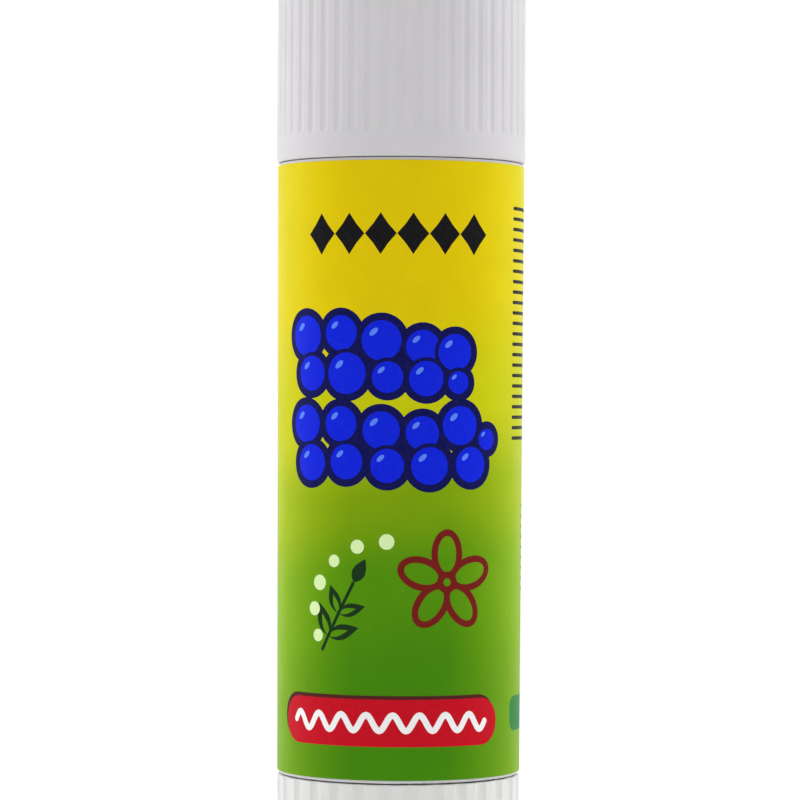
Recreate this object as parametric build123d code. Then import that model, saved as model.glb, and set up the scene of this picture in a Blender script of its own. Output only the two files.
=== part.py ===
from build123d import *
import math
import os

# Twist-up glue stick of the 8 g class, about 20 mm across and 85 mm tall, in millimetres.
# Frame: +Z runs up the stick's axis, and the origin is the centre of the foot that it stands on.
# From the foot up: a fluted knob that turns, a barrel with a printed film label, and a fluted cap
# that is pushed over the barrel's neck. Inside, a left-hand spindle turns with the knob and winds
# a carrier cup up the barrel. The carrier is kept from turning by ribs in the barrel's bore, and
# the glue stands in it, cast round the spindle.

# Lengths along the axis that set the stick's height
knob_height = 10.4
knob_gap = 0.1
body_length = 49.5
neck_length = 14.0
cap_gap = 0.05
cap_height = 24.95

# Barrel, whose body is widest at the shoulder under the cap and narrows towards the knob
shoulder_radius = 9.96
body_taper = 0.17
body_edge = 0.15
neck_wall = 1.15
neck_lead_in = 0.45
rim_edge = 0.25
spigot_clearance = 0.25
spigot_length = 4.5
spigot_lead_in = 0.4
floor_thickness = 1.2
neck_bead_rise = 0.1
neck_bead_width = 1.2
neck_bead_drop = 5.0
snap_groove_depth = 0.35
snap_groove_width = 1.2
snap_groove_drop = 1.3

# Guide ribs in the bore
guide_count = 4
guide_depth = 0.5
guide_width = 1.2
guide_root = 0.3
guide_stop = 3.0
guide_clearance = 0.2

# Film label, wrapped round the barrel and lapped at the back
label_margin = 0.25
label_thickness = 0.08
lap_width = 3.0

# Spindle
lead = 4.0
core_radius = 1.7
thread_height = 0.8
thread_root_width = 1.3
thread_crest_width = 0.8
thread_root_sink = 0.3
tip_length = 0.9
tip_chamfer = 0.5
flange_overhang = 0.85
flange_thickness = 1.6
flange_gap = 0.25
shank_radius = 2.0
shank_clearance = 0.15
drive_sides = 6
drive_corner_step = 0.15
drive_end_gap = 0.45

# Seal ring under the spindle's flange
seal_shank_gap = 0.65
seal_wire_radius = 0.45
seal_floor_gap = 0.1
seal_groove_side_gap = 0.1
seal_groove_top_gap = 0.05

# Carrier cup
carrier_gap = 0.25
carrier_clearance = 0.2
carrier_height = 8.0
carrier_wall = 1.0
carrier_floor = 1.0
hub_wall = 1.2
hub_clearance = 0.2
ridge_flank_gap = 0.3
ridge_crest_gap = 0.25
ridge_root_sink = 0.4
ridge_end_margin = 0.3
fin_count = 4
fin_width = 0.9
fin_height = 4.5

# Glue column
glue_gap = 0.15
glue_bore_gap = 0.3
glue_cover = 2.0
glue_crown_drop = 3.0
glue_crown_round = 1.0
tip_gap = 0.7

# Knob, which stands a little proud of the barrel above it and narrows towards its foot
knob_step = 0.09
knob_draft = 0.1
knob_wall = 1.13
knob_foot_round = 0.9
knob_top_round = 0.2
knob_floor = 1.3
foot_ring_width = 1.28
foot_recess_depth = 0.4
knob_hub_radius = 3.4
knob_hub_gap = 0.25
web_count = 6
web_width = 0.9
web_drop = 1.0
web_sink = 0.3
snap_bead_reach = 0.4
snap_bead_clearance = 0.2
knob_flute_count = 30
knob_flute_depth = 0.2
knob_flute_radius = 1.0

# Cap, which stands a little proud of the barrel's shoulder and narrows towards its top
cap_step = 0.16
cap_draft = 0.1
cap_wall = 1.22
cap_top_round = 1.2
cap_rim_round = 0.2
cap_roof = 1.4
cap_neck_clearance = 0.15
cap_mouth_lead_in = 0.3
cap_flute_count = 48
cap_flute_depth = 0.09
cap_flute_radius = 0.85
cap_rim_band = 1.95
dish_ring_width = 1.42
dish_slope = 0.5
dish_depth = 0.35

# Sealing liner inside the cap
liner_disc_thickness = 0.8
liner_disc_gap = 0.05
plug_clearance = 0.15
plug_wall = 0.8
plug_depth = 1.6
plug_bead_rise = 0.08
plug_bead_width = 0.8
plug_lead_in = 0.3

# How far cutters and stock run past a face, so that no cut ends on one
overrun = 1.0

# Heights of the faces that pieces share
body_z = knob_height + knob_gap
shoulder_z = body_z + body_length
rim_z = shoulder_z + neck_length
floor_low_z = body_z - spigot_length
floor_top_z = floor_low_z + floor_thickness
cap_z = shoulder_z + cap_gap
cap_top_z = cap_z + cap_height
roof_low_z = cap_top_z - cap_roof
hub_top_z = floor_low_z - knob_hub_gap
seal_z = floor_top_z + seal_floor_gap + seal_wire_radius
flange_low_z = floor_top_z + flange_gap
flange_top_z = flange_low_z + flange_thickness
carrier_z = flange_top_z + carrier_gap
carrier_top_z = carrier_z + carrier_height
knob_floor_z = foot_recess_depth + knob_floor
cup_floor_z = carrier_z + carrier_floor
crown_z = rim_z - glue_crown_drop
glue_bore_top_z = crown_z - glue_cover
tip_z = glue_bore_top_z - tip_gap
thread_top_z = tip_z - tip_length

# Radii that pieces share, from the outside in
body_low_radius = shoulder_radius - body_taper
cap_rim_radius = shoulder_radius + cap_step
cap_top_radius = cap_rim_radius - cap_draft
cap_bore_radius = cap_rim_radius - cap_wall
neck_radius = cap_bore_radius - cap_neck_clearance
bore_radius = neck_radius - neck_wall
knob_high_radius = body_low_radius + knob_step
knob_low_radius = knob_high_radius - knob_draft
knob_inner_radius = knob_low_radius - knob_wall
spigot_radius = knob_inner_radius - spigot_clearance
seal_ring_radius = shank_radius + seal_shank_gap + seal_wire_radius
flange_radius = seal_ring_radius + seal_wire_radius + seal_groove_side_gap + flange_overhang
thread_radius = core_radius + thread_height
carrier_radius = bore_radius - carrier_clearance
cup_radius = carrier_radius - carrier_wall
hub_bore_radius = thread_radius + hub_clearance
hub_radius = hub_bore_radius + hub_wall
guide_inner_radius = bore_radius - guide_depth


def profile(points):
    """A face in the XZ plane from (radius, height) points."""
    return make_face(Polyline([(r, 0, z) for r, z in points], close=True)).face()


def rounded(face, corner, radius):
    """The face with the corner nearest to a (radius, height) point rounded."""
    place = Vector(corner[0], 0, corner[1])
    nearest = min(face.vertices(), key=lambda v: (Vector(v.X, v.Y, v.Z) - place).length)
    return face.fillet_2d(radius, [nearest])


def turned(face):
    """The solid that a face in the XZ plane sweeps round the Z axis."""
    return revolve(face, Axis.Z).solid()


def around(count, shape, phase=0.0):
    """Copies of a shape spaced evenly round the Z axis."""
    return [Rot(0, 0, phase + 360 * i / count) * shape for i in range(count)]


def block(inner, outer, width, low, high):
    """A straight radial bar along +X from one radius to another."""
    size = Box(outer - inner, width, high - low, align=(Align.MIN, Align.CENTER, Align.MIN))
    return Pos(inner, 0, low) * size


def fluted(solid, wall, count, depth, cutter_radius, low, high):
    """The solid with round flutes along a wall, given by its low and high (radius, height) points."""
    (low_radius, wall_low), (high_radius, wall_high) = wall
    slope = (high_radius - low_radius) / (wall_high - wall_low)
    reach = low_radius + slope * (low - wall_low) + cutter_radius - depth
    shaft = Cylinder(cutter_radius, high - low, align=(Align.CENTER, Align.CENTER, Align.MIN))
    tilt = Rot(0, math.degrees(math.atan(slope)), 0)
    cutter = Pos(reach, 0, low) * tilt * (shaft + Sphere(cutter_radius))
    return (solid - around(count, cutter)).solid()


def helical_bar(radius, low, turns, points, angle=0.0):
    """A left-hand helical bar; its section's points are (outward, upward) from the helix."""
    path = Edge.make_helix(lead, turns * lead, radius, center=(0, 0, low), lefthand=True)
    section_plane = Plane(origin=path @ 0, x_dir=(1, 0, 0), z_dir=path % 0)
    upward = 1 if section_plane.y_dir.Z > 0 else -1
    outline = [(x, upward * y) for x, y in points]
    section = section_plane * make_face(Polyline(outline, close=True))
    return Rot(0, 0, angle) * sweep(section, path=Wire([path]), is_frenet=True)


def body_radius_at(z):
    """The barrel body's radius at a height, along its draft."""
    share = (z - body_z) / body_length
    return body_low_radius + body_taper * share


def make_barrel():
    """Tube with a reduced neck for the cap, a spigot for the knob and a floor for the spindle."""
    hole = shank_radius + shank_clearance
    bead_z = rim_z - neck_bead_drop
    groove_top = body_z - snap_groove_drop
    groove_low = groove_top - snap_groove_width
    groove_radius = spigot_radius - snap_groove_depth
    face = profile([
        (hole, floor_low_z),
        (spigot_radius - spigot_lead_in, floor_low_z),
        (spigot_radius, floor_low_z + spigot_lead_in),
        (spigot_radius, groove_low),
        (groove_radius, groove_low),
        (groove_radius, groove_top),
        (spigot_radius, groove_top),
        (spigot_radius, body_z),
        (body_low_radius, body_z),
        (shoulder_radius, shoulder_z),
        (neck_radius, shoulder_z),
        (neck_radius, bead_z - neck_bead_width / 2),
        (neck_radius + neck_bead_rise, bead_z),
        (neck_radius, bead_z + neck_bead_width / 2),
        (neck_radius, rim_z - neck_lead_in),
        (neck_radius - neck_lead_in, rim_z),
        (bore_radius, rim_z),
        (bore_radius, floor_top_z),
        (hole, floor_top_z),
    ])
    face = rounded(face, (body_low_radius, body_z), body_edge)
    face = rounded(face, (shoulder_radius, shoulder_z), body_edge)
    face = rounded(face, (bore_radius, rim_z), rim_edge)
    rib = block(guide_inner_radius, bore_radius + guide_root, guide_width, floor_top_z, rim_z - guide_stop)
    return (turned(face) + around(guide_count, rib)).solid()


def make_label():
    """Film sleeve on the barrel's body, with its free edge lapped over itself at the back."""
    low = body_z + label_margin
    high = shoulder_z - label_margin
    low_radius = body_radius_at(low)
    high_radius = body_radius_at(high)
    film = label_thickness
    sleeve = turned(profile([
        (low_radius, low),
        (low_radius + film, low),
        (high_radius + film, high),
        (high_radius, high),
    ]))
    lap_face = profile([
        (low_radius, low),
        (low_radius + film + film, low),
        (high_radius + film + film, high),
        (high_radius, high),
    ])
    lap_angle = math.degrees(lap_width / high_radius)
    lap = Rot(0, 0, 90) * revolve(lap_face, Axis.Z, lap_angle)
    return (sleeve + lap).solid()


def drive_end():
    """Hexagonal end of the spindle, which also cuts its socket in the knob's hub."""
    low = knob_floor_z + drive_end_gap
    hexagon = RegularPolygon(shank_radius - drive_corner_step, drive_sides)
    return Pos(0, 0, low) * extrude(hexagon, hub_top_z - low + overrun)


def make_spindle():
    """Left-hand screw with a thrust flange, a plain shank and a hexagonal drive end."""
    groove_half = seal_wire_radius + seal_groove_side_gap
    groove_top = seal_z + seal_wire_radius + seal_groove_top_gap
    stem = turned(profile([
        (0, hub_top_z),
        (shank_radius, hub_top_z),
        (shank_radius, flange_low_z),
        (seal_ring_radius - groove_half, flange_low_z),
        (seal_ring_radius - groove_half, groove_top),
        (seal_ring_radius + groove_half, groove_top),
        (seal_ring_radius + groove_half, flange_low_z),
        (flange_radius, flange_low_z),
        (flange_radius, flange_top_z),
        (core_radius, flange_top_z),
        (core_radius, tip_z - tip_chamfer),
        (core_radius - tip_chamfer, tip_z),
        (0, tip_z),
    ]))
    root_half = thread_root_width / 2
    crest_half = thread_crest_width / 2
    thread = helical_bar(core_radius, flange_top_z, (thread_top_z - flange_top_z) / lead, [
        (-thread_root_sink, -root_half),
        (0, -root_half),
        (thread_height, -crest_half),
        (thread_height, crest_half),
        (0, root_half),
        (-thread_root_sink, root_half),
    ])
    return (stem + thread + drive_end()).solid()


def make_spindle_seal():
    """Rubber ring in the groove under the spindle's flange."""
    return Pos(0, 0, seal_z) * Torus(seal_ring_radius, seal_wire_radius)


def guide_slots(clearance):
    """Bars that clear the bore's guide ribs all the way up."""
    width = guide_width + clearance + clearance
    bar = block(guide_inner_radius - clearance, bore_radius + overrun, width, 0, cap_top_z)
    return around(guide_count, bar)


def fins():
    """Radial fins that join the carrier's hub to its wall."""
    middle = hub_radius - hub_wall / 2
    fin = block(middle, cup_radius + carrier_wall / 2, fin_width, cup_floor_z, cup_floor_z + fin_height)
    return around(fin_count, fin, phase=180 / fin_count)


def make_carrier():
    """Cup that lifts the glue, with a ridge in its hub that runs in the spindle's thread."""
    shell = turned(profile([
        (hub_bore_radius, carrier_z),
        (carrier_radius, carrier_z),
        (carrier_radius, carrier_top_z),
        (cup_radius, carrier_top_z),
        (cup_radius, cup_floor_z),
        (hub_radius, cup_floor_z),
        (hub_radius, carrier_top_z),
        (hub_bore_radius, carrier_top_z),
    ]))
    crest = core_radius + ridge_crest_gap - hub_bore_radius
    flank_slope = (thread_root_width - thread_crest_width) / thread_height
    thread_width_at_crest = thread_root_width - flank_slope * ridge_crest_gap
    crest_width = lead - thread_width_at_crest - ridge_flank_gap - ridge_flank_gap
    root_width = crest_width + flank_slope * (ridge_root_sink - crest)
    low = carrier_z + ridge_end_margin + root_width / 2
    high = carrier_top_z - ridge_end_margin - root_width / 2
    groove_z = flange_top_z + lead / 2
    ridge = helical_bar(hub_bore_radius, low, (high - low) / lead, [
        (crest, -crest_width / 2),
        (ridge_root_sink, -root_width / 2),
        (ridge_root_sink, root_width / 2),
        (crest, crest_width / 2),
    ], angle=360 * (groove_z - low) / lead)
    cup = shell + fins() + ridge
    return (cup - guide_slots(guide_clearance)).solid()


def make_glue():
    """Glue column, moulded round the carrier's hub and fins, with a blind bore for the spindle."""
    radius = bore_radius - glue_gap
    bore = thread_radius + glue_bore_gap
    face = profile([
        (hub_radius, cup_floor_z),
        (cup_radius, cup_floor_z),
        (cup_radius, carrier_top_z),
        (radius, carrier_top_z),
        (radius, crown_z),
        (0, crown_z),
        (0, glue_bore_top_z),
        (bore, glue_bore_top_z),
        (bore, carrier_top_z),
        (hub_radius, carrier_top_z),
    ])
    face = rounded(face, (radius, crown_z), glue_crown_round)
    return (turned(face) - guide_slots(guide_clearance) - fins()).solid()


def make_knob():
    """Fluted cup that turns on the barrel's spigot and drives the spindle."""
    foot_recess_radius = knob_low_radius - knob_foot_round - foot_ring_width
    bead_z = body_z - snap_groove_drop - snap_groove_width / 2
    bead_half = snap_groove_width / 2 - snap_bead_clearance
    bead_radius = knob_inner_radius - snap_bead_reach
    face = profile([
        (0, foot_recess_depth),
        (foot_recess_radius, foot_recess_depth),
        (foot_recess_radius, 0),
        (knob_low_radius, 0),
        (knob_high_radius, knob_height),
        (knob_inner_radius, knob_height),
        (knob_inner_radius, bead_z + bead_half),
        (bead_radius, bead_z),
        (knob_inner_radius, bead_z - bead_half),
        (knob_inner_radius, knob_floor_z),
        (knob_hub_radius, knob_floor_z),
        (knob_hub_radius, hub_top_z),
        (0, hub_top_z),
    ])
    face = rounded(face, (knob_low_radius, 0), knob_foot_round)
    face = rounded(face, (knob_high_radius, knob_height), knob_top_round)
    web_top = floor_low_z - web_drop
    web = block(knob_hub_radius - web_sink, knob_inner_radius + web_sink, web_width, knob_floor_z, web_top)
    cup = turned(face) + around(web_count, web)
    cup -= drive_end()
    wall = ((knob_low_radius, 0), (knob_high_radius, knob_height))
    return fluted(cup.solid(), wall, knob_flute_count, knob_flute_depth, knob_flute_radius,
                  -overrun - knob_flute_radius, knob_height + overrun)


def make_cap():
    """Fluted cap with a plain band at its rim and a shallow dish in its top."""
    dish_radius = cap_top_radius - cap_top_round - dish_ring_width
    face = profile([
        (cap_bore_radius + cap_mouth_lead_in, cap_z),
        (cap_rim_radius, cap_z),
        (cap_top_radius, cap_top_z),
        (dish_radius, cap_top_z),
        (dish_radius - dish_slope, cap_top_z - dish_depth),
        (0, cap_top_z - dish_depth),
        (0, roof_low_z),
        (cap_bore_radius, roof_low_z),
        (cap_bore_radius, cap_z + cap_mouth_lead_in),
    ])
    face = rounded(face, (cap_rim_radius, cap_z), cap_rim_round)
    face = rounded(face, (cap_top_radius, cap_top_z), cap_top_round)
    wall = ((cap_rim_radius, cap_z), (cap_top_radius, cap_top_z))
    flute_end = math.sqrt(cap_flute_depth * (cap_flute_radius + cap_flute_radius - cap_flute_depth))
    return fluted(turned(face), wall, cap_flute_count, cap_flute_depth, cap_flute_radius,
                  cap_z + cap_rim_band + flute_end, cap_top_z + overrun)


def make_cap_liner():
    """Inverted cup under the cap's roof, whose plug seals in the barrel's mouth."""
    disc_radius = cap_bore_radius - liner_disc_gap
    disc_z = roof_low_z - liner_disc_thickness
    plug_radius = bore_radius - plug_clearance
    plug_inner = plug_radius - plug_wall
    plug_z = rim_z - plug_depth
    bead_z = rim_z - rim_edge - plug_bead_width / 2
    return turned(profile([
        (0, disc_z),
        (plug_inner, disc_z),
        (plug_inner, plug_z),
        (plug_radius - plug_lead_in, plug_z),
        (plug_radius, plug_z + plug_lead_in),
        (plug_radius, bead_z - plug_bead_width / 2),
        (plug_radius + plug_bead_rise, bead_z),
        (plug_radius, bead_z + plug_bead_width / 2),
        (plug_radius, disc_z),
        (disc_radius, disc_z),
        (disc_radius, roof_low_z),
        (0, roof_low_z),
    ]))


pieces = {
    "barrel": make_barrel,
    "label": make_label,
    "spindle": make_spindle,
    "spindle_seal": make_spindle_seal,
    "carrier": make_carrier,
    "glue": make_glue,
    "knob": make_knob,
    "cap": make_cap,
    "cap_liner": make_cap_liner,
}

os.makedirs("parts", exist_ok=True)
for name, make in pieces.items():
    export_step(make(), f"parts/{name}.step")
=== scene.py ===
import math

import bpy
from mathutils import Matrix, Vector, geometry


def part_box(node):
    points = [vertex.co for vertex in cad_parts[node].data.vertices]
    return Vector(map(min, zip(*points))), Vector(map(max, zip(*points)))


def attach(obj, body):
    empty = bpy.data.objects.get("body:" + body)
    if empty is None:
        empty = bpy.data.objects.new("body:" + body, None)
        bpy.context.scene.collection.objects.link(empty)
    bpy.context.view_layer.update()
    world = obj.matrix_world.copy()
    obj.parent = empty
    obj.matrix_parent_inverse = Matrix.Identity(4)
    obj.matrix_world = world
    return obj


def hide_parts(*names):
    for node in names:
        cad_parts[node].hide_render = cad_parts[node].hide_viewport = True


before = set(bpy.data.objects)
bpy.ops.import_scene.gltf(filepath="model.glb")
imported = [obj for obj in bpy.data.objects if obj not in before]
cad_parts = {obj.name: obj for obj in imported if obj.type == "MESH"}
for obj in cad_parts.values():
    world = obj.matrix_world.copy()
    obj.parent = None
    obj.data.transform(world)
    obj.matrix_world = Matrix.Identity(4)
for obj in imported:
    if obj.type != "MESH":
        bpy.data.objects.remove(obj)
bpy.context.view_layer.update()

# Looks of a twist-up glue stick. Sizes are in metres, apart from the label's artwork, which is
# drawn flat in millimetres: s runs round the label from the middle of its front, to the right as
# seen from the front, and z runs up from the stick's foot.

MM = 0.001

# View of the photograph: a level camera in front of the stick, which crops its cap and its foot
CAMERA_DISTANCE = 0.289
EYE_HEIGHT = 0.0408
SENSOR_WIDTH = 36.0
LENS = 159.3
CAMERA_LEVEL_DEG = 90
CAMERA_ROLL_DEG = -0.29
CAMERA_CLIP_START = 0.01
CAMERA_CLIP_END = 10.0

# Stage
FLOOR_HALF_SIDE = 1.5
FLOOR_COLOUR = (0.92, 0.92, 0.92)
FLOOR_GLOW_NEAR_SHARE = 0.80
FLOOR_FADE_START = 0.06
FLOOR_FADE_END = 0.60
BACKGROUND_COLOUR = (1.0, 1.0, 1.0)

# Light
WORLD_FILL = 0.62
SIDE_LAMP_X = 0.42
SIDE_LAMP_Y = 0.155
SIDE_LAMP_HEIGHT = 0.10
SIDE_LAMP_SIZE = (0.30, 0.55)
SIDE_LAMP_POWER = 1.5
TOP_LAMP_Y = -0.05
TOP_LAMP_HEIGHT = 0.65
TOP_LAMP_SIZE = (0.5, 0.5)
TOP_LAMP_POWER = 2.3

# Range that most of a noise lies in
NOISE_LOW = 0.3
NOISE_HIGH = 0.7

# Sockets of a Mix node that mixes colours
MIX_FACTOR = 0
MIX_FIRST = 6
MIX_SECOND = 7
MIX_RESULT = 2


def link(tree, source, target):
    """Joins two sockets."""
    tree.links.new(source, target)


def add_node(tree, kind, **settings):
    """A new node with its plain settings."""
    node = tree.nodes.new(kind)
    for name, value in settings.items():
        setattr(node, name, value)
    return node


def set_inputs(node, values):
    """Sets a node's own sockets by name."""
    for name, value in values.items():
        node.inputs[name].default_value = value


def principled(name):
    """A new material with its tree and its Principled shader."""
    material = bpy.data.materials.new(name)
    material.use_nodes = True
    tree = material.node_tree
    return material, tree, tree.nodes["Principled BSDF"]


def object_coordinates(tree, scale=(1.0, 1.0, 1.0)):
    """Coordinates in metres of the shared frame, stretched by a scale."""
    source = add_node(tree, "ShaderNodeTexCoord")
    mapping = add_node(tree, "ShaderNodeMapping")
    set_inputs(mapping, {"Scale": scale})
    link(tree, source.outputs["Object"], mapping.inputs["Vector"])
    return mapping.outputs["Vector"]


def noise(tree, size, detail=2.0, roughness=0.5, stretch=(1.0, 1.0, 1.0)):
    """Noise whose features are about as large as size, in metres."""
    node = add_node(tree, "ShaderNodeTexNoise")
    set_inputs(node, {"Scale": 1.0 / size, "Detail": detail, "Roughness": roughness})
    link(tree, object_coordinates(tree, stretch), node.inputs["Vector"])
    return node.outputs["Fac"]


def remap(tree, value, low, high, from_low=NOISE_LOW, from_high=NOISE_HIGH):
    """A value mapped from one range to another and held inside it."""
    node = add_node(tree, "ShaderNodeMapRange")
    set_inputs(node, {"From Min": from_low, "From Max": from_high, "To Min": low, "To Max": high})
    link(tree, value, node.inputs["Value"])
    return node.outputs["Result"]


def mix_colour(tree, factor, first, second, blend="MIX"):
    """Two colours mixed by a factor; each may be a socket or plain numbers."""
    node = add_node(tree, "ShaderNodeMix", data_type="RGBA", blend_type=blend)
    for place, value in ((MIX_FACTOR, factor), (MIX_FIRST, first), (MIX_SECOND, second)):
        socket = node.inputs[place]
        if isinstance(value, bpy.types.NodeSocket):
            link(tree, value, socket)
        elif isinstance(value, (int, float)):
            socket.default_value = value
        else:
            socket.default_value = (*value, 1.0)
    return node.outputs[MIX_RESULT]


def bump(tree, height, distance, normal=None):
    """A bump of a height map; distance is in metres."""
    node = add_node(tree, "ShaderNodeBump")
    set_inputs(node, {"Strength": 1.0, "Distance": distance})
    link(tree, height, node.inputs["Height"])
    if normal is not None:
        link(tree, normal, node.inputs["Normal"])
    return node.outputs["Normal"]


# Moulded plastic. Painted shade: a place that sees less of its surroundings than the shares given, as in
# crevices, is darkened towards a grey.
PLASTIC_CLOUD_SIZE = 6 * MM
PLASTIC_GLOSS_SIZE = 2.5 * MM
PLASTIC_ROUGHNESS_LESS = 0.07
PLASTIC_ROUGHNESS_MORE = 0.09
PLASTIC_EDGE_RADIUS = 0.12 * MM
PLASTIC_EDGE_SAMPLES = 6
PLASTIC_GRAIN_SIZE = 0.16 * MM
PLASTIC_GRAIN_DEPTH = 0.006 * MM
FLOW_LINE_SIZE = 0.7 * MM
FLOW_LINE_DEPTH = 0.012 * MM
FLOW_LINE_STRETCH = (1.0, 1.0, 0.05)
PAINTED_SHADE_REACH = 0.9 * MM
PAINTED_SHADE_SAMPLES = 8
PAINTED_SHADE_COLOUR = (0.42, 0.41, 0.43)
PAINTED_SHADE_FULL_SHARE = 0.35
PAINTED_SHADE_NONE_SHARE = 0.95
PLASTIC_FINISH = {
    "Subsurface Radius": (1.0, 0.95, 0.9),
    "Subsurface Scale": 0.8 * MM,
    "Specular IOR Level": 0.3,
}


def moulded_plastic(name, colour, shade, roughness, scatter=0.12, painted_shade=0.0):
    """Moulded plastic: faint flow lines down the stick, fine grain, soft edges, cloudy gloss and, where asked,
    shade painted into its crevices.
    """
    material, tree, shader = principled(name)
    tone = remap(tree, noise(tree, PLASTIC_CLOUD_SIZE, detail=4), 0.0, 1.0)
    base = mix_colour(tree, tone, colour, shade)
    # Painted shade: the colour darkens towards a grey where ambient occlusion finds crevices.
    if painted_shade:
        occlusion = add_node(tree, "ShaderNodeAmbientOcclusion", samples=PAINTED_SHADE_SAMPLES)
        set_inputs(occlusion, {"Distance": PAINTED_SHADE_REACH})
        shade_share = remap(tree, occlusion.outputs["AO"], painted_shade, 0.0, PAINTED_SHADE_FULL_SHARE, PAINTED_SHADE_NONE_SHARE)
        base = mix_colour(tree, shade_share, base, PAINTED_SHADE_COLOUR)
    link(tree, base, shader.inputs["Base Color"])
    gloss = noise(tree, PLASTIC_GLOSS_SIZE, detail=5, roughness=0.65)
    smoothest = roughness - PLASTIC_ROUGHNESS_LESS
    roughest = roughness + PLASTIC_ROUGHNESS_MORE
    link(tree, remap(tree, gloss, smoothest, roughest), shader.inputs["Roughness"])
    edge = add_node(tree, "ShaderNodeBevel", samples=PLASTIC_EDGE_SAMPLES)
    set_inputs(edge, {"Radius": PLASTIC_EDGE_RADIUS})
    grain = noise(tree, PLASTIC_GRAIN_SIZE, detail=3)
    flow = noise(tree, FLOW_LINE_SIZE, detail=2, stretch=FLOW_LINE_STRETCH)
    soft = bump(tree, flow, FLOW_LINE_DEPTH, normal=edge.outputs["Normal"])
    link(tree, bump(tree, grain, PLASTIC_GRAIN_DEPTH, normal=soft), shader.inputs["Normal"])
    set_inputs(shader, {"Subsurface Weight": scatter, **PLASTIC_FINISH})
    return material


# Solid glue
WAX_COLOUR = (0.73, 0.73, 0.70)
WAX_SHADE = (0.67, 0.675, 0.65)
WAX_CLOUD_SIZE = 3 * MM
WAX_GLOSS_SIZE = 1.6 * MM
WAX_ROUGHNESS = (0.34, 0.58)
WAX_RIPPLE_SIZE = 2.2 * MM
WAX_RIPPLE_DEPTH = 0.12 * MM
WAX_RIPPLE_STRETCH = (1.0, 1.0, 2.4)
WAX_PIT_SIZE = 0.35 * MM
WAX_PIT_DEPTH = 0.03 * MM
WAX_FINISH = {
    "Subsurface Weight": 0.5,
    "Subsurface Radius": (1.0, 0.9, 0.75),
    "Subsurface Scale": 2.0 * MM,
    "Coat Weight": 0.15,
    "Coat Roughness": 0.25,
}


def waxy_glue(name):
    """Solid glue: milky, waxy, with cast ripples, tiny pits and smears."""
    material, tree, shader = principled(name)
    cloud = remap(tree, noise(tree, WAX_CLOUD_SIZE, detail=4), 0.0, 1.0)
    link(tree, mix_colour(tree, cloud, WAX_COLOUR, WAX_SHADE), shader.inputs["Base Color"])
    gloss = noise(tree, WAX_GLOSS_SIZE, detail=5)
    link(tree, remap(tree, gloss, *WAX_ROUGHNESS), shader.inputs["Roughness"])
    ripple = noise(tree, WAX_RIPPLE_SIZE, detail=3, stretch=WAX_RIPPLE_STRETCH)
    pits = noise(tree, WAX_PIT_SIZE, detail=4, roughness=0.7)
    wavy = bump(tree, ripple, WAX_RIPPLE_DEPTH)
    link(tree, bump(tree, pits, WAX_PIT_DEPTH, normal=wavy), shader.inputs["Normal"])
    set_inputs(shader, WAX_FINISH)
    return material


# Rubber
RUBBER_COLOUR = (0.018, 0.018, 0.018)
RUBBER_BLOOM = (0.04, 0.04, 0.038)
RUBBER_BLOOM_SIZE = 0.5 * MM
RUBBER_GLOSS_SIZE = 0.3 * MM
RUBBER_ROUGHNESS = (0.6, 0.85)
RUBBER_GRAIN_SIZE = 0.1 * MM
RUBBER_GRAIN_DEPTH = 0.005 * MM


def black_rubber(name):
    """Dull black rubber with a fine bloom."""
    material, tree, shader = principled(name)
    bloom = remap(tree, noise(tree, RUBBER_BLOOM_SIZE, detail=4), 0.0, 1.0)
    link(tree, mix_colour(tree, bloom, RUBBER_COLOUR, RUBBER_BLOOM), shader.inputs["Base Color"])
    gloss = noise(tree, RUBBER_GLOSS_SIZE, detail=3)
    link(tree, remap(tree, gloss, *RUBBER_ROUGHNESS), shader.inputs["Roughness"])
    link(tree, bump(tree, noise(tree, RUBBER_GRAIN_SIZE), RUBBER_GRAIN_DEPTH), shader.inputs["Normal"])
    return material


# Printed film. Its ground runs from yellow above to green below, deeper in the middle of the front.
# The stops are heights in millimetres with their colours, and the print slants down to the left.
SIDE_STOPS = (
    (14.0, (0.20, 0.39, 0.003)),
    (26.0, (0.26, 0.46, 0.003)),
    (33.0, (0.40, 0.52, 0.003)),
    (40.0, (0.55, 0.57, 0.002)),
    (50.0, (0.70, 0.61, 0.002)),
)
MIDDLE_STOPS = (
    (18.0, (0.055, 0.23, 0.002)),
    (27.0, (0.083, 0.27, 0.002)),
    (33.0, (0.200, 0.35, 0.002)),
    (40.0, (0.540, 0.56, 0.002)),
    (50.0, (0.735, 0.555, 0.001)),
)
MIDDLE_EDGE = 2.6 * MM
MIDDLE_FULL = 9.2 * MM
GROUND_TILT = 0.13
PRINT_PATCH_SIZE = 3 * MM
PRINT_PATCH_TONE = 0.955
PRINT_GRAIN_SIZE = 0.14 * MM
PRINT_GRAIN_TONE = 0.965

# Inks, which show a little grey where they are thin
INKS = {
    "ink_black": (0.004, 0.004, 0.005),
    "ink_navy": (0.001, 0.002, 0.075),
    "ink_blue": (0.001, 0.014, 0.66),
    "ink_light_blue": (0.10, 0.22, 0.85),
    "ink_dark_red": (0.16, 0.008, 0.005),
    "ink_dark_green": (0.006, 0.030, 0.006),
    "ink_green": (0.015, 0.20, 0.035),
    "ink_pale": (0.66, 0.84, 0.42),
    "ink_red": (0.52, 0.001, 0.012),
    "ink_shadow": (0.07, 0.012, 0.010),
    "ink_white": (0.84, 0.84, 0.84),
}
INK_THIN_TONE = 0.5
INK_THIN_SHARE = 0.012
INK_PATCH_SIZE = 0.3 * MM

# Surface of the film, which all its inks share
FILM_RUB_SIZE = 1.2 * MM
FILM_RUB_STRETCH = (1.0, 1.0, 0.35)
FILM_ROUGHNESS = (0.32, 0.50)
FILM_WAVE_SIZE = 4.5 * MM
FILM_WAVE_DEPTH = 0.02 * MM
FILM_PEEL_SIZE = 0.5 * MM
FILM_PEEL_DEPTH = 0.002 * MM
FILM_FINISH = {"IOR": 1.40, "Specular IOR Level": 0.08}


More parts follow.
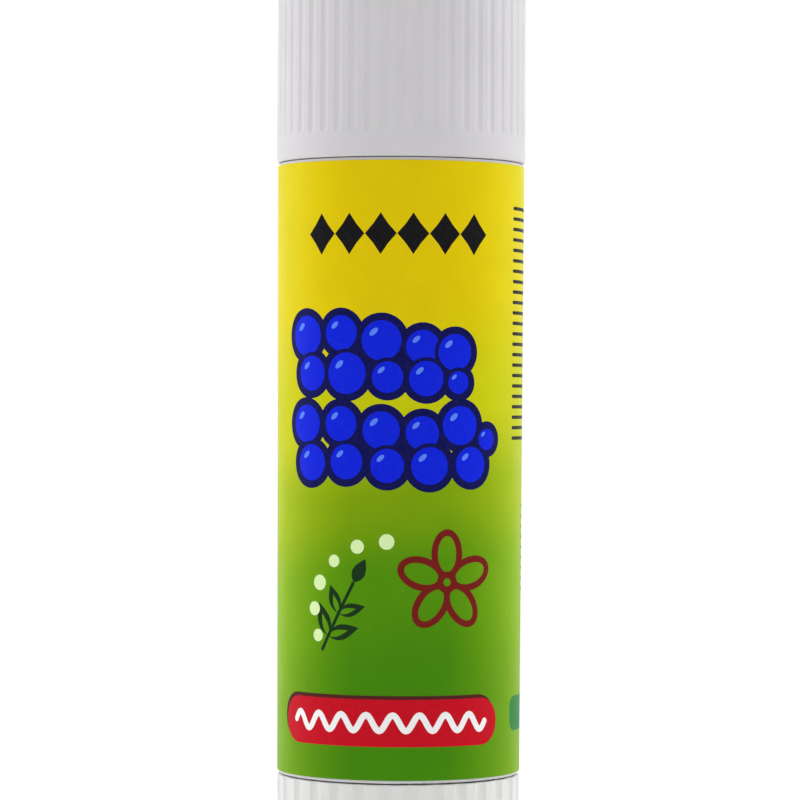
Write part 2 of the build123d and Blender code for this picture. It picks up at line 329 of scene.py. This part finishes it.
def film_surface(tree, shader):
    """Gloss, faint waviness and rub marks that the film and all its inks share."""
    rub = noise(tree, FILM_RUB_SIZE, detail=6, roughness=0.7, stretch=FILM_RUB_STRETCH)
    link(tree, remap(tree, rub, *FILM_ROUGHNESS), shader.inputs["Roughness"])
    wavy = bump(tree, noise(tree, FILM_WAVE_SIZE, detail=2), FILM_WAVE_DEPTH)
    peel = bump(tree, noise(tree, FILM_PEEL_SIZE, detail=2), FILM_PEEL_DEPTH, normal=wavy)
    link(tree, peel, shader.inputs["Normal"])
    set_inputs(shader, FILM_FINISH)


def height_ramp(tree, height, stops):
    """Colours by height from (height in millimetres, colour) stops."""
    low = stops[0][0]
    high = stops[-1][0]
    ramp = add_node(tree, "ShaderNodeValToRGB")
    ramp.color_ramp.interpolation = "EASE"
    marks = ramp.color_ramp.elements
    for index, (place_mm, colour) in enumerate(stops):
        place = (place_mm - low) / (high - low)
        mark = marks[index] if index < len(marks) else marks.new(place)
        mark.position = place
        mark.color = (*colour, 1.0)
    link(tree, remap(tree, height, 0.0, 1.0, low * MM, high * MM), ramp.inputs["Fac"])
    return ramp.outputs["Color"]


def film_ground():
    """The film's ground colour by height and towards the middle of the front, with the slight unevenness of a
    print.
    """
    material, tree, shader = principled("film_ground")
    source = add_node(tree, "ShaderNodeTexCoord")
    split = add_node(tree, "ShaderNodeSeparateXYZ")
    link(tree, source.outputs["Object"], split.inputs["Vector"])
    tilt = add_node(tree, "ShaderNodeMath", operation="MULTIPLY_ADD")
    tilt.inputs[1].default_value = -GROUND_TILT
    link(tree, split.outputs["X"], tilt.inputs[0])
    link(tree, split.outputs["Z"], tilt.inputs[2])
    side = height_ramp(tree, tilt.outputs["Value"], SIDE_STOPS)
    middle = height_ramp(tree, tilt.outputs["Value"], MIDDLE_STOPS)
    # Darker towards the middle of the front than at the sides.
    frontness = remap(tree, split.outputs["Y"], 0.0, 1.0, -MIDDLE_EDGE, -MIDDLE_FULL)
    graded = mix_colour(tree, frontness, side, middle)
    uneven = remap(tree, noise(tree, PRINT_PATCH_SIZE, detail=4), PRINT_PATCH_TONE, 1.0)
    grain = remap(tree, noise(tree, PRINT_GRAIN_SIZE, detail=1), PRINT_GRAIN_TONE, 1.0)
    toned = mix_colour(tree, 1.0, graded, uneven, blend="MULTIPLY")
    toned = mix_colour(tree, 1.0, toned, grain, blend="MULTIPLY")
    link(tree, toned, shader.inputs["Base Color"])
    film_surface(tree, shader)
    return material


def ink(name, colour):
    """A printed ink, a little uneven in density."""
    material, tree, shader = principled(name)
    thin = tuple(value + (INK_THIN_TONE - value) * INK_THIN_SHARE for value in colour)
    density = remap(tree, noise(tree, INK_PATCH_SIZE, detail=4, roughness=0.6), 0.0, 1.0)
    link(tree, mix_colour(tree, density, colour, thin), shader.inputs["Base Color"])
    film_surface(tree, shader)
    return material


# Flat shapes for the label's artwork, as lists of (s, z) points in millimetres, counter-clockwise
CURVE_STEPS = 36
WAVE_STEPS = 16
LEAF_FULLNESS = 0.8
DIAMOND_BOW_SHARE = 0.47


def turned(s, z, flat, turn_deg):
    """Points turned counter-clockwise about their origin, which is then put at (s, z)."""
    turn = math.radians(turn_deg)
    return [
        (s + a * math.cos(turn) - b * math.sin(turn), z + a * math.sin(turn) + b * math.cos(turn))
        for a, b in flat
    ]


def ellipse(s, z, half_width, half_height, turn_deg=0.0):
    """An ellipse, turned counter-clockwise."""
    flat = []
    for i in range(CURVE_STEPS):
        angle = 2 * math.pi * i / CURVE_STEPS
        flat.append((half_width * math.cos(angle), half_height * math.sin(angle)))
    return turned(s, z, flat, turn_deg)


def disc(s, z, radius):
    """A round spot."""
    return ellipse(s, z, radius, radius)


def bar(left, right, low, high, corner):
    """A bar with round corners."""
    corners = (
        (right - corner, low + corner, -90),
        (right - corner, high - corner, 0),
        (left + corner, high - corner, 90),
        (left + corner, low + corner, 180),
    )
    quarter = CURVE_STEPS // 4
    points = []
    for s, z, start in corners:
        for i in range(quarter + 1):
            angle = math.radians(start + 90 * i / quarter)
            points.append((s + corner * math.cos(angle), z + corner * math.sin(angle)))
    return points


def diamond(s, z, half_width, half_height):
    """A diamond whose sides bow in a little."""
    tips = ((half_width, 0), (0, half_height), (-half_width, 0), (0, -half_height))
    points = []
    for (a, b), (c, d) in zip(tips, tips[1:] + tips[:1]):
        points.append((s + a, z + b))
        points.append((s + (a + c) * DIAMOND_BOW_SHARE, z + (b + d) * DIAMOND_BOW_SHARE))
    return points


def stroke(line, width):
    """A band of one width along an open line."""
    left = []
    right = []
    for i, (s, z) in enumerate(line):
        before = line[max(i - 1, 0)]
        after = line[min(i + 1, len(line) - 1)]
        along = Vector((after[0] - before[0], after[1] - before[1])).normalized()
        left.append((s - along.y * width / 2, z + along.x * width / 2))
        right.append((s + along.y * width / 2, z - along.x * width / 2))
    return right + left[::-1]


def wave(left, right, middle, height, periods, width):
    """A wavy line."""
    steps = periods * WAVE_STEPS
    line = []
    for i in range(steps + 1):
        share = i / steps
        rise = height / 2 * math.sin(2 * math.pi * periods * share)
        line.append((left + (right - left) * share, middle + rise))
    return stroke(line, width)


def leaf(s, z, length, width, turn_deg):
    """A pointed leaf that grows from (s, z)."""
    steps = CURVE_STEPS // 2
    flat = []
    for i in range(steps + 1):
        share = i / steps
        flat.append((length * share, -width / 2 * math.sin(math.pi * share ** LEAF_FULLNESS)))
    for i in range(1, steps):
        share = 1 - i / steps
        flat.append((length * share, width / 2 * math.sin(math.pi * share ** LEAF_FULLNESS)))
    return turned(s, z, flat, turn_deg)


def around(s, z, count, reach, phase_deg):
    """Places spaced evenly round a point, with the direction of each."""
    for i in range(count):
        angle = phase_deg + 360 * i / count
        yield s + reach * math.cos(math.radians(angle)), z + reach * math.sin(math.radians(angle)), angle


# Row of diamonds across the top of the front
DIAMOND_COUNT = 6
DIAMOND_LEFT = -6.75
DIAMOND_PITCH = 2.58
DIAMOND_Z = 53.95
DIAMOND_HALF_WIDTH = 1.27
DIAMOND_HALF_HEIGHT = 1.65


def diamond_row(art):
    """A row of black diamonds across the top of the front."""
    for i in range(DIAMOND_COUNT):
        s = DIAMOND_LEFT + DIAMOND_PITCH * i
        art.append(("ink_black", diamond(s, DIAMOND_Z, DIAMOND_HALF_WIDTH, DIAMOND_HALF_HEIGHT)))


# Foam in the middle of the front, as (s, z, radius) of each bubble. A gleam's shares are of the
# bubble's radius.
BUBBLE_ROWS = (
    ((-8.4, 45.9, 1.9), (-4.9, 46.1, 1.7), (-1.5, 45.5, 1.9), (1.8, 45.0, 1.65), (4.5, 44.6, 1.75),
     (-7.8, 42.9, 1.7), (-4.4, 42.9, 1.95), (-1.0, 42.6, 1.55), (2.1, 42.5, 1.7), (4.8, 42.2, 1.2)),
    ((-8.4, 38.9, 1.8), (-4.9, 38.9, 1.7), (-1.5, 38.4, 1.8), (1.8, 38.2, 1.65), (5.0, 38.8, 1.85),
     (7.6, 37.7, 1.15), (-7.8, 35.8, 1.75), (-4.4, 35.9, 1.7), (-1.0, 35.6, 1.65), (2.4, 35.6, 1.8),
     (6.0, 35.7, 1.7)),
)
BUBBLE_OUTLINE = 0.6
GLEAM_LEFT_SHARE = 0.32
GLEAM_UP_SHARE = 0.36
GLEAM_LENGTH_SHARE = 0.22
GLEAM_WIDTH_SHARE = 0.11
GLEAM_TURN_DEG = 42


def gleam(s, z, radius):
    """The light spot on a bubble."""
    place = (s - radius * GLEAM_LEFT_SHARE, z + radius * GLEAM_UP_SHARE)
    return ellipse(*place, radius * GLEAM_LENGTH_SHARE, radius * GLEAM_WIDTH_SHARE, GLEAM_TURN_DEG)


def bubbles(art):
    """Two rows of blue foam with dark outlines round its bubbles."""
    half_outline = BUBBLE_OUTLINE / 2
    for row in BUBBLE_ROWS:
        for s, z, radius in row:
            art.append(("ink_navy", disc(s, z, radius + half_outline)))
        for s, z, radius in row:
            art.append(("ink_navy", disc(s, z, radius)))
            art.append(("ink_blue", disc(s, z, radius - half_outline)))
            art.append(("ink_light_blue", gleam(s, z, radius)))


# Flowers and sprigs, whose shares are of their own size. A bare inner leaf's shares are of its leaf.
PETAL_COUNT = 5
PETAL_PHASE_DEG = 18
PETAL_REACH_SHARE = 0.52
PETAL_LENGTH_SHARE = 0.46
PETAL_WIDTH_SHARE = 0.31
FLOWER_MIDDLE_SHARE = 0.2
STEM_STEPS = 8
STEM_WIDTH_SHARE = 0.045
LEAF_PAIR_SHARES = ((0.22, 1.0), (0.55, 0.85))
LEAF_LENGTH_SHARE = 0.45
LEAF_WIDTH_SHARE = 0.2
LEAF_SPREAD_DEG = 48
INNER_LENGTH_SHARE = 0.66
INNER_WIDTH_SHARE = 0.42
BUD_LENGTH_SHARE = 0.34
BUD_WIDTH_SHARE = 0.18


def flower(art, s, z, size, line):
    """An outlined flower with five petals."""
    petals = list(around(s, z, PETAL_COUNT, size * PETAL_REACH_SHARE, PETAL_PHASE_DEG))
    half_length = size * PETAL_LENGTH_SHARE
    half_width = size * PETAL_WIDTH_SHARE
    middle = size * FLOWER_MIDDLE_SHARE
    for a, b, angle in petals:
        art.append(("ink_dark_red", ellipse(a, b, half_length, half_width, angle)))
    for a, b, angle in petals:
        art.append(("film_ground", ellipse(a, b, half_length - line, half_width - line, angle)))
    art.append(("ink_dark_red", disc(s, z, middle)))
    art.append(("film_ground", disc(s, z, middle - line)))


def sprig(art, s, z, length, turn_deg):
    """A dark sprig with leaves in pairs."""
    turn = math.radians(turn_deg)
    stem = []
    for i in range(STEM_STEPS + 1):
        along = length * i / STEM_STEPS
        stem.append((s + along * math.cos(turn), z + along * math.sin(turn)))
    for share, scale in LEAF_PAIR_SHARES:
        a = s + length * share * math.cos(turn)
        b = z + length * share * math.sin(turn)
        leaf_length = length * LEAF_LENGTH_SHARE * scale
        leaf_width = length * LEAF_WIDTH_SHARE * scale
        for side in (-1, 1):
            spread = turn_deg + side * LEAF_SPREAD_DEG
            inner = leaf(a, b, leaf_length * INNER_LENGTH_SHARE, leaf_width * INNER_WIDTH_SHARE, spread)
            art.append(("ink_dark_green", leaf(a, b, leaf_length, leaf_width, spread)))
            art.append(("film_ground", inner))
    bud = leaf(*stem[-1], length * BUD_LENGTH_SHARE, length * BUD_WIDTH_SHARE, turn_deg)
    art.append(("ink_dark_green", stroke(stem, length * STEM_WIDTH_SHARE)))
    art.append(("ink_dark_green", bud))


# Banner at the foot of the front; each bar is its left, right, low, high and corner radius
BANNER_SHADOW = (-11.3, 8.75, 13.65, 17.45, 1.85)
BANNER_BAR = (-11.05, 9.0, 13.4, 17.15, 1.8)
BANNER_WAVE_LEFT = -9.6
BANNER_WAVE_RIGHT = 7.6
BANNER_WAVE_Z = 15.3
BANNER_WAVE_HEIGHT = 1.25
BANNER_WAVE_PERIODS = 8
BANNER_WAVE_WIDTH = 0.5


def banner(art):
    """A red bar with a dark shadow and a white wavy line."""
    art.append(("ink_shadow", bar(*BANNER_SHADOW)))
    art.append(("ink_red", bar(*BANNER_BAR)))
    line = wave(BANNER_WAVE_LEFT, BANNER_WAVE_RIGHT, BANNER_WAVE_Z, BANNER_WAVE_HEIGHT,
                BANNER_WAVE_PERIODS, BANNER_WAVE_WIDTH)
    art.append(("ink_white", line))
    for end in (BANNER_WAVE_LEFT, BANNER_WAVE_RIGHT):
        art.append(("ink_white", disc(end, BANNER_WAVE_Z, BANNER_WAVE_WIDTH / 2)))


# Blocks of rules on the right side, which share their right edge, and the green bar under them
RULE_PITCH = 0.84
RULE_CORNER_SHARE = 0.45
RULES_RIGHT = 26.5
RAGGED_SHARES = (1.0, 0.93, 0.98, 0.55, 0.96, 1.0, 0.9, 0.97, 0.4, 0.99, 0.94, 0.7)
RULE_BLOCKS = (
    {"colour": "ink_black", "left": 11.2, "low": 36.6, "high": 56.4, "thickness": 0.28,
     "shares": RAGGED_SHARES},
    {"colour": "ink_dark_green", "left": 14.2, "low": 24.0, "high": 32.4, "thickness": 0.24,
     "shares": RAGGED_SHARES[3:]},
)
GREEN_BAR = (11.2, RULES_RIGHT, 14.2, 17.0, 0.9)


def rules(art, colour, left, low, high, thickness, shares):
    """A block of thin level rules with ragged right ends."""
    for i in range(int((high - low) / RULE_PITCH)):
        end = left + (RULES_RIGHT - left) * shares[i % len(shares)]
        z = high - RULE_PITCH * i
        art.append((colour, bar(left, end, z - thickness, z, thickness * RULE_CORNER_SHARE)))


# Arc of pale dots on the front, and a wavy row of them at the back
ARC_COUNT = 6
ARC_MIDDLE = (-1.0, 24.0)
ARC_REACH = (6.4, 5.6)
ARC_START_DEG = 200
ARC_STEP_DEG = 22
ARC_DOT_RADII = (0.5, 0.56, 0.62)
ROW_COUNT = 5
ROW_START = (-26.0, 22.6)
ROW_PITCH = 2.6
ROW_RISE = 0.7
ROW_TURN = 2.1
ROW_DOT_RADIUS = 0.55


def dot_arc(art):
    """An arc of pale dots of three sizes."""
    for i in range(ARC_COUNT):
        angle = math.radians(ARC_START_DEG - ARC_STEP_DEG * i)
        s = ARC_MIDDLE[0] + ARC_REACH[0] * math.cos(angle)
        z = ARC_MIDDLE[1] + ARC_REACH[1] * math.sin(angle)
        art.append(("ink_pale", disc(s, z, ARC_DOT_RADII[i % len(ARC_DOT_RADII)])))


def dot_row(art):
    """A wavy row of pale dots."""
    for i in range(ROW_COUNT):
        s = ROW_START[0] + ROW_PITCH * i
        z = ROW_START[1] + ROW_RISE * math.sin(ROW_TURN * i)
        art.append(("ink_pale", disc(s, z, ROW_DOT_RADIUS)))


# Place and size of each flower and sprig: s, z, size, then the flower's line or the sprig's turn
FRONT_FLOWER = (3.9, 26.4, 4.3, 0.55)
FRONT_SPRIG = (-6.6, 20.9, 6.2, 62)
BACK_FLOWER = (-21.5, 50.0, 3.4, 0.45)
BACK_SPRIG = (-24.6, 35.0, 6.8, 75)


def artwork():
    """Every printed shape as (material name, points), the lowest layer first."""
    art = []
    diamond_row(art)
    bubbles(art)
    flower(art, *FRONT_FLOWER)
    sprig(art, *FRONT_SPRIG)
    dot_arc(art)
    banner(art)
    for block in RULE_BLOCKS:
        rules(art, **block)
    art.append(("ink_green", bar(*GREEN_BAR)))
    flower(art, *BACK_FLOWER)
    sprig(art, *BACK_SPRIG)
    dot_row(art)
    return art


# The film as a mesh. Its grid lines keep the facets even between the printed shapes.
LABEL_COLUMNS = 216
LABEL_ROWS = 16
LAP_DEG = 17.2
LAP_RISE_DEG = 4.0
LAP_MARGIN_MM = 0.12
FILM_THICKNESS = 0.08 * MM
NEAR_VERTEX = 0.02 * MM
MERGE_MM = 1e-5
BORDER_REACH_MM = 1e-4


def front_radius(node, height):
    """Radius of a node's front, on the vertices nearest to a height."""
    corners = [v.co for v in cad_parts[node].data.vertices]
    nearest = min(abs(v.z - height) for v in corners)
    return max(-v.y for v in corners if abs(v.z - height) < nearest + NEAR_VERTEX)


class Film:
    """The film's flat outline in millimetres, and how it wraps round the barrel."""

    def __init__(self):
        """Takes the sleeve's heights and radii from the CAD solid that it stands for."""
        low, high = (corner.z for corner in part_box("label"))
        self.low_radius = front_radius("label", low)
        self.high_radius = front_radius("label", high)
        self.middle_radius = (self.low_radius + self.high_radius) / 2
        self.start = -math.pi * self.middle_radius / MM
        self.end = -self.start + math.radians(LAP_DEG) * self.middle_radius / MM
        self.low = low / MM
        self.high = high / MM

    def place(self, s, z, inside):
        """A point of the film in the shared frame; inside is 0 on its outer face and 1 on its inner one."""
        angle = s * MM / self.middle_radius
        share = (z - self.low) / (self.high - self.low)
        radius = self.low_radius + (self.high_radius - self.low_radius) * share
        rise = (math.degrees(angle) - 180 + LAP_RISE_DEG) / LAP_RISE_DEG
        rise = min(max(rise, 0.0), 1.0)
        radius += FILM_THICKNESS * (rise * rise * (3 - 2 * rise) - inside)
        return radius * math.sin(angle), -radius * math.cos(angle), z * MM

    def shapes(self):
        """Every flat shape as (material name, points): the ground, the print and the bare lap edge."""
        margin = self.end - LAP_MARGIN_MM
        ground = [(self.start, self.low), (self.end, self.low), (self.end, self.high), (self.start, self.high)]
        strip = [(margin, self.low), (self.end, self.low), (self.end, self.high), (margin, self.high)]
        return [("film_ground", ground), *artwork(), ("ink_white", strip)]

    def grid(self):
        """The grid's lines as pairs of end points: the columns, then the rows."""
        lines = []
        for i in range(1, LABEL_COLUMNS):
            s = self.start + (self.end - self.start) * i / LABEL_COLUMNS
            lines.append(((s, self.low), (s, self.high)))
        for i in range(1, LABEL_ROWS):
            z = self.low + (self.high - self.low) * i / LABEL_ROWS
            lines.append(((self.start, z), (self.end, z)))
        return lines

    def borders(self, flat):
        """Indices of the flat points along each edge of the film, by edge."""

        def along(value, edge, order):
            """Points whose value is at the edge, in order."""
            near = [i for i, point in enumerate(flat) if abs(value(point) - edge) < BORDER_REACH_MM]
            return sorted(near, key=lambda i: order(flat[i]))

        def across(point):
            return point.x

        def up(point):
            return point.y

        return {
            "low": along(up, self.low, across),
            "high": along(up, self.high, across),
            "start": along(across, self.start, up),
            "end": along(across, self.end, up),
        }


def cut_flat(film):
    """The flat film cut along its print: its points, its triangles and each one's material name."""
    points = []
    edges = []
    outlines = []
    names = []
    for name, outline in film.shapes():
        first = len(points)
        points.extend(Vector(p) for p in outline)
        outlines.append(list(range(first, len(points))))
        names.append(name)
    for line in film.grid():
        edges.append((len(points), len(points) + 1))
        points.extend(Vector(p) for p in line)
    result = geometry.delaunay_2d_cdt(points, edges, outlines, 1, MERGE_MM, True)
    flat, _, triangles, _, _, origins = result
    tops = [names[max(sources)] for sources in origins]
    return flat, [tuple(triangle) for triangle in triangles], tops


def closing_faces(film, flat, vertices):
    """The film's inner face and its four edges; it adds their vertices to the list."""
    borders = film.borders(flat)
    inner = {}
    for border in borders.values():
        for i in border:
            if i not in inner:
                inner[i] = len(vertices)
                vertices.append(film.place(flat[i].x, flat[i].y, 1))
    faces = []
    cells = list(zip(borders["low"], borders["low"][1:], borders["high"][1:], borders["high"]))
    for number, (a, b, c, d) in enumerate(cells):
        rising = borders["start"] if number == 0 else [a, d]
        falling = borders["end"] if number == len(cells) - 1 else [b, c]
        faces.append(tuple(inner[i] for i in rising + falling[::-1]))
    for name, reverse in (("low", True), ("high", False), ("start", False), ("end", True)):
        row = borders[name]
        for a, b in zip(row, row[1:]):
            face = (a, b, inner[b], inner[a])
            faces.append(face[::-1] if reverse else face)
    return faces


def smooth_outside(mesh, outer_count):
    """Round normals on the film's outer face, and flat ones on the rest."""
    normals = []
    for polygon in mesh.polygons:
        for vertex in polygon.vertices:
            if polygon.index < outer_count:
                spot = mesh.vertices[vertex].co
                normals.append(Vector((spot.x, spot.y, 0)).normalized())
            else:
                normals.append(polygon.normal.copy())
    mesh.polygons.foreach_set("use_smooth", [True] * len(mesh.polygons))
    mesh.normals_split_custom_set(normals)


def label_sleeve(materials):
    """The film as one closed sheet, wrapped once round and lapped at the back, its print in its faces."""
    film = Film()
    flat, outer_faces, tops = cut_flat(film)
    vertices = [film.place(point.x, point.y, 0) for point in flat]
    inner_faces = closing_faces(film, flat, vertices)
    used = sorted(set(tops))
    slots = [used.index(name) for name in tops]
    slots.extend([used.index("film_ground")] * len(inner_faces))

    mesh = bpy.data.meshes.new("label_print")
    mesh.from_pydata(vertices, [], outer_faces + inner_faces)
    for name in used:
        mesh.materials.append(materials[name])
    mesh.polygons.foreach_set("material_index", slots)
    smooth_outside(mesh, len(outer_faces))
    mesh.update()
    sleeve = bpy.data.objects.new("label_print", mesh)
    bpy.context.scene.collection.objects.link(sleeve)
    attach(sleeve, "barrel")
    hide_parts("label")


def make_camera():
    """The photograph's view: level, straight in front, with a slight roll."""
    data = bpy.data.cameras.new("camera")
    data.sensor_width = SENSOR_WIDTH
    data.lens = LENS
    data.clip_start = CAMERA_CLIP_START
    data.clip_end = CAMERA_CLIP_END
    camera = bpy.data.objects.new("camera", data)
    camera.location = (0, -CAMERA_DISTANCE, EYE_HEIGHT)
    camera.rotation_euler = (math.radians(CAMERA_LEVEL_DEG), math.radians(CAMERA_ROLL_DEG), 0)
    bpy.context.scene.collection.objects.link(camera)
    bpy.context.scene.camera = camera


def background_rays(tree):
    """1 for the rays that should see a plain white background, and 0 for the others."""
    path = add_node(tree, "ShaderNodeLightPath")
    seen = path.outputs["Is Camera Ray"]
    for kind in ("Is Glossy Ray", "Is Transmission Ray"):
        either = add_node(tree, "ShaderNodeMath", operation="MAXIMUM")
        link(tree, seen, either.inputs[0])
        link(tree, path.outputs[kind], either.inputs[1])
        seen = either.outputs["Value"]
    return seen


def floor_material():
    """A pale floor that keeps a soft shadow near the stick and fades into white further out."""
    material = bpy.data.materials.new("floor")
    material.use_nodes = True
    tree = material.node_tree
    tree.nodes.clear()
    diffuse = add_node(tree, "ShaderNodeBsdfDiffuse")
    set_inputs(diffuse, {"Color": (*FLOOR_COLOUR, 1.0)})
    glow = add_node(tree, "ShaderNodeEmission")
    distance = add_node(tree, "ShaderNodeVectorMath", operation="LENGTH")
    link(tree, object_coordinates(tree), distance.inputs[0])
    reach = distance.outputs["Value"]
    fade = remap(tree, reach, FLOOR_GLOW_NEAR_SHARE, 1.0, FLOOR_FADE_START, FLOOR_FADE_END)
    share = add_node(tree, "ShaderNodeMath", operation="MULTIPLY")
    link(tree, background_rays(tree), share.inputs[0])
    link(tree, fade, share.inputs[1])
    both = add_node(tree, "ShaderNodeMixShader")
    link(tree, share.outputs[0], both.inputs["Fac"])
    link(tree, diffuse.outputs[0], both.inputs[1])
    link(tree, glow.outputs[0], both.inputs[2])
    output = add_node(tree, "ShaderNodeOutputMaterial")
    link(tree, both.outputs[0], output.inputs["Surface"])
    return material


def make_floor():
    """The floor that the stick stands on."""
    half = FLOOR_HALF_SIDE
    corners = [(-half, -half, 0), (half, -half, 0), (half, half, 0), (-half, half, 0)]
    mesh = bpy.data.meshes.new("floor")
    mesh.from_pydata(corners, [], [(0, 1, 2, 3)])
    floor = bpy.data.objects.new("floor", mesh)
    bpy.context.scene.collection.objects.link(floor)
    mesh.materials.append(floor_material())


def make_world():
    """White to the camera and in reflections, and a soft even fill for everything else."""
    world = bpy.data.worlds.new("studio")
    world.use_nodes = True
    tree = world.node_tree
    back = tree.nodes["Background"]
    set_inputs(back, {"Color": (*BACKGROUND_COLOUR, 1.0)})
    link(tree, remap(tree, background_rays(tree), WORLD_FILL, 1.0, 0.0, 1.0), back.inputs["Strength"])
    bpy.context.scene.world = world


def area_lamp(name, place, size, power, glare=True):
    """A soft rectangular lamp aimed at the stick, which shiny surfaces reflect only if it may glare."""
    data = bpy.data.lights.new(name, "AREA")
    data.shape = "RECTANGLE"
    data.size, data.size_y = size
    data.energy = power
    lamp = bpy.data.objects.new(name, data)
    lamp.location = place
    aim = Vector((0, 0, EYE_HEIGHT)) - Vector(place)
    lamp.rotation_euler = aim.to_track_quat("-Z", "Y").to_euler()
    lamp.visible_glossy = glare
    bpy.context.scene.collection.objects.link(lamp)


def make_lights():
    """A lamp at each side, which leaves the front a little darker, and one above."""
    for name, side in (("left_lamp", -1), ("right_lamp", 1)):
        place = (side * SIDE_LAMP_X, SIDE_LAMP_Y, SIDE_LAMP_HEIGHT)
        area_lamp(name, place, SIDE_LAMP_SIZE, SIDE_LAMP_POWER, glare=False)
    area_lamp("top_lamp", (0, TOP_LAMP_Y, TOP_LAMP_HEIGHT), TOP_LAMP_SIZE, TOP_LAMP_POWER)


# Plastics by node. The cap, knob and barrel are white, and what is inside is of natural colour.
PLASTICS = {
    # The cap and knob get shade painted into their crevices.
    "cap": {"name": "cap_white", "colour": (0.615, 0.600, 0.618), "shade": (0.592, 0.578, 0.596),
            "roughness": 0.48, "painted_shade": 0.12},
    # The knob's white is lighter than the cap's: painted light standing in for light bounced up from the
    # floor.
    "knob": {"name": "knob_white_painted_light", "colour": (0.71, 0.71, 0.70), "shade": (0.685, 0.685, 0.675),
             "roughness": 0.48, "painted_shade": 0.12},
    "barrel": {"name": "barrel_white", "colour": (0.615, 0.600, 0.618), "shade": (0.592, 0.578, 0.596),
               "roughness": 0.36},
    "cap_liner": {"name": "liner_natural", "colour": (0.71, 0.72, 0.71), "shade": (0.67, 0.68, 0.675),
                  "roughness": 0.48, "scatter": 0.5},
    "carrier": {"name": "carrier_natural", "colour": (0.69, 0.70, 0.71), "shade": (0.65, 0.66, 0.67),
                "roughness": 0.44, "scatter": 0.4},
    "spindle": {"name": "spindle_natural", "colour": (0.68, 0.69, 0.71), "shade": (0.64, 0.65, 0.67),
                "roughness": 0.44, "scatter": 0.4},
}


def dress(node, material):
    """Gives a CAD node its material."""
    mesh_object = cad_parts[node]
    mesh_object.data.materials.clear()
    mesh_object.data.materials.append(material)


make_camera()
make_floor()
make_world()
make_lights()
bpy.context.scene.view_settings.view_transform = "Standard"

film_materials = {name: ink(name, colour) for name, colour in INKS.items()}
film_materials["film_ground"] = film_ground()
for node, look in PLASTICS.items():
    dress(node, moulded_plastic(**look))
dress("spindle_seal", black_rubber("seal_rubber"))
dress("glue", waxy_glue("glue_wax"))
label_sleeve(film_materials)
